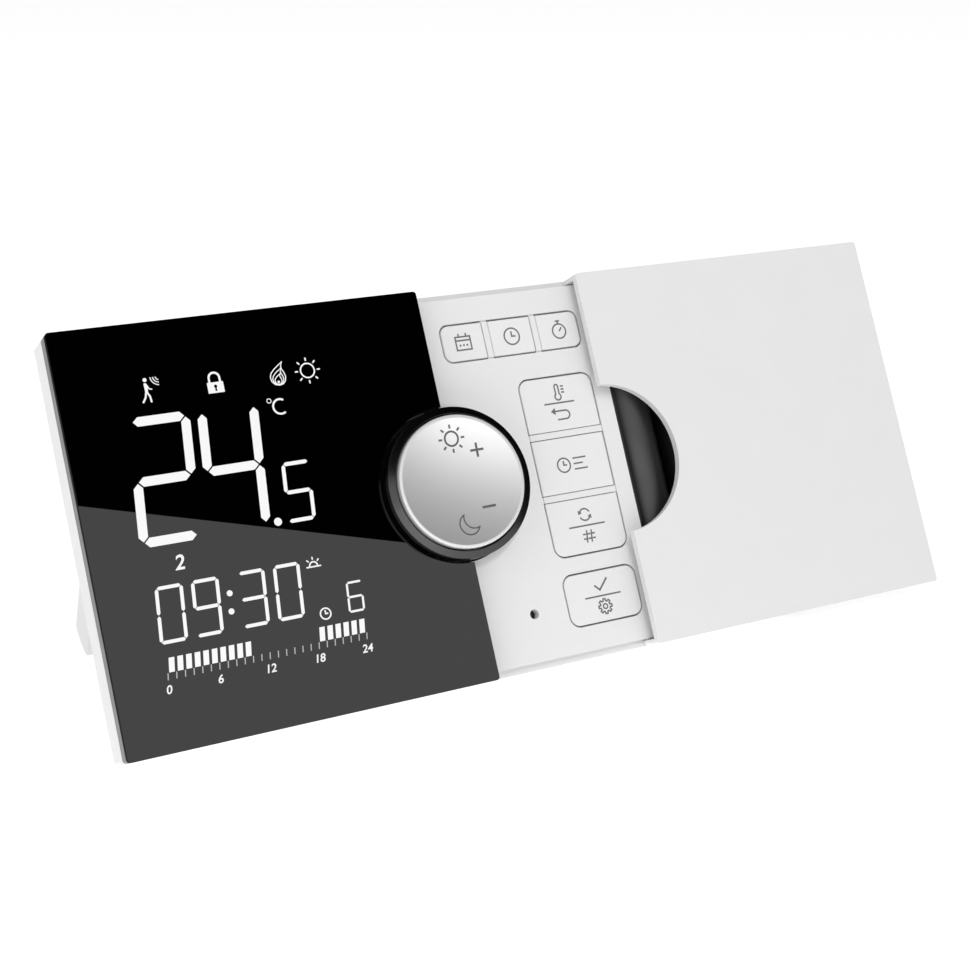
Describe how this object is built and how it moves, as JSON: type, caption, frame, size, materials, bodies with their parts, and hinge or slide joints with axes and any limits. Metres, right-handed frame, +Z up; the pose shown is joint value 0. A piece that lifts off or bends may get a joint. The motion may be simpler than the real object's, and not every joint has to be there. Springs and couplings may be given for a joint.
{
  "type": "programmable timer",
  "caption": "Programmable room heating timer with a black display window, a dial, keys under a sliding cover and a fold-out desk stand.",
  "frame": {"origin": "on the floor under the centre of the whole object, with the cover open and the case leaning on its stand", "axes": "+X to the right seen from the front, -Y towards the user, +Z up; the face leans back 27.8 degrees"},
  "size_m": [0.187, 0.0673, 0.0761],
  "materials": {
    "case_white": "satin moulded plastic",
    "cover_white": "satin moulded plastic",
    "key_white": "fine satin",
    "window_black": "polished",
    "bezel_grey": "satin",
    "dial_black": "semi-gloss",
    "dial_silver": "fine satin",
    "display": "polished",
    "light_guide": "clear acrylic",
    "inner_plastic": "moulded",
    "strip_rubber": "matte",
    "board_green": "solder mask",
    "chip_black": "matte",
    "metal": "plated",
    "tray_black": "fine moulded texture",
    "cell_wrap": "printed sleeve",
    "wire_red": "sleeve",
    "pad_rubber": "matte"
  },
  "bodies": {
    "case": {"front_housing": "case_white", "rear_housing": "case_white", "window_bezel": "bezel_grey", "display_window": "window_black", "lcd_panel": "display", "light_guide": "light_guide", "lcd_carrier": "inner_plastic", "contact_strips": "strip_rubber", "main_board": "board_green", "microcontroller": "chip_black", "radio_module": "board_green", "crystal": "metal", "capacitors": "chip_black", "temperature_sensor": "chip_black", "snap_domes": "metal", "reset_switch": "chip_black", "dial_hub": "inner_plastic", "dial_pin": "metal", "hub_screws": "metal", "dial_sensor": "chip_black", "battery_tray": "tray_black", "cell_left": "cell_wrap", "cell_right": "cell_wrap", "cell_springs": "metal", "cell_plates": "metal", "battery_wires": "wire_red", "case_screws": "metal"},
    "cover": {"sliding_cover": "cover_white"},
    "dial": {"dial_ring": "dial_black", "code_ring": "inner_plastic"},
    "cap": {"dial_cap": "dial_silver"},
    "reset": {"reset_button": "chip_black"},
    "stand": {"stand": "case_white", "stand_pins": "metal", "stand_pads": "pad_rubber"},
    "day_key_body": {"day_key": "key_white"},
    "hour_key_body": {"hour_key": "key_white"},
    "minute_key_body": {"minute_key": "key_white"},
    "temperature_key_body": {"temperature_key": "key_white"},
    "program_key_body": {"program_key": "key_white"},
    "mode_key_body": {"mode_key": "key_white"},
    "set_key_body": {"set_key": "key_white"}
  },
  "joints": [
    {"name": "cover_slide", "type": "slide", "parent": "case", "child": "cover", "axis": [1, 0, 0], "range_m": [-0.037, 0]},
    {"name": "dial_turn", "type": "hinge", "parent": "case", "child": "dial", "pos_m": [-0.0188, -0.01506, 0.04057], "axis": [0, -0.8846, 0.4664], "continuous": true},
    {"name": "cap_rock", "type": "hinge", "parent": "case", "child": "cap", "pos_m": [-0.0188, -0.014, 0.04001], "axis": [1, 0, 0], "range_deg": [-1.5, 1.5], "stiffness_Nm_per_rad": 0.3},
    {"name": "stand_fold", "type": "hinge", "parent": "case", "child": "stand", "pos_m": [-0.0185, 0.01054, 0.04131], "axis": [-1, 0, 0], "range_deg": [0, 56.5]},
    {"name": "reset_press", "type": "slide", "parent": "case", "child": "reset", "axis": [0, 0.8846, -0.4664], "range_m": [0, 0.00025], "stiffness_N_per_m": 1500, "springref_m": -0.0005},
    {"name": "day_key_press", "type": "slide", "parent": "case", "child": "day_key_body", "axis": [0, 0.8846, -0.4664], "range_m": [0, 0.0005], "stiffness_N_per_m": 800, "springref_m": -0.001},
    {"name": "hour_key_press", "type": "slide", "parent": "case", "child": "hour_key_body", "axis": [0, 0.8846, -0.4664], "range_m": [0, 0.0005], "stiffness_N_per_m": 800, "springref_m": -0.001},
    {"name": "minute_key_press", "type": "slide", "parent": "case", "child": "minute_key_body", "axis": [0, 0.8846, -0.4664], "range_m": [0, 0.0005], "stiffness_N_per_m": 800, "springref_m": -0.001},
    {"name": "temperature_key_press", "type": "slide", "parent": "case", "child": "temperature_key_body", "axis": [0, 0.8846, -0.4664], "range_m": [0, 0.0005], "stiffness_N_per_m": 800, "springref_m": -0.001},
    {"name": "program_key_press", "type": "slide", "parent": "case", "child": "program_key_body", "axis": [0, 0.8846, -0.4664], "range_m": [0, 0.0005], "stiffness_N_per_m": 800, "springref_m": -0.001},
    {"name": "mode_key_press", "type": "slide", "parent": "case", "child": "mode_key_body", "axis": [0, 0.8846, -0.4664], "range_m": [0, 0.0005], "stiffness_N_per_m": 800, "springref_m": -0.001},
    {"name": "set_key_press", "type": "slide", "parent": "case", "child": "set_key_body", "axis": [0, 0.8846, -0.4664], "range_m": [0, 0.0005], "stiffness_N_per_m": 800, "springref_m": -0.001}
  ]
}
